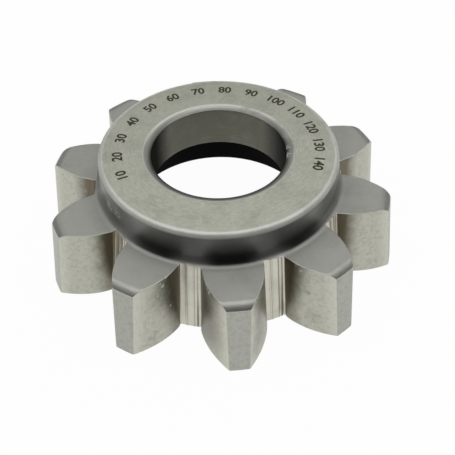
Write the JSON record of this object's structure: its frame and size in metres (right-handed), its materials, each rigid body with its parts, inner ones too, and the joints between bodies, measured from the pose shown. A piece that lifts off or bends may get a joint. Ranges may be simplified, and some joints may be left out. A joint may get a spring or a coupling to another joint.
{
  "type": "gear shaper cutter",
  "caption": "Cup-form gear shaper cutter with relieved involute teeth, a raised hub with a rounded edge, a plain bore and a deep recess for the clamping nut.",
  "frame": {"origin": "on the bore's axis, in the plane of the tooth points that the cutter stands on", "axes": "+Z along the bore towards the hub's back face, with one tooth pointing along -Y"},
  "size_m": [0.116, 0.12, 0.0388],
  "materials": {
    "tool_steel": "turned hub, ground teeth, satin"
  },
  "bodies": {
    "root": {"cutter": "tool_steel"}
  },
  "joints": []
}
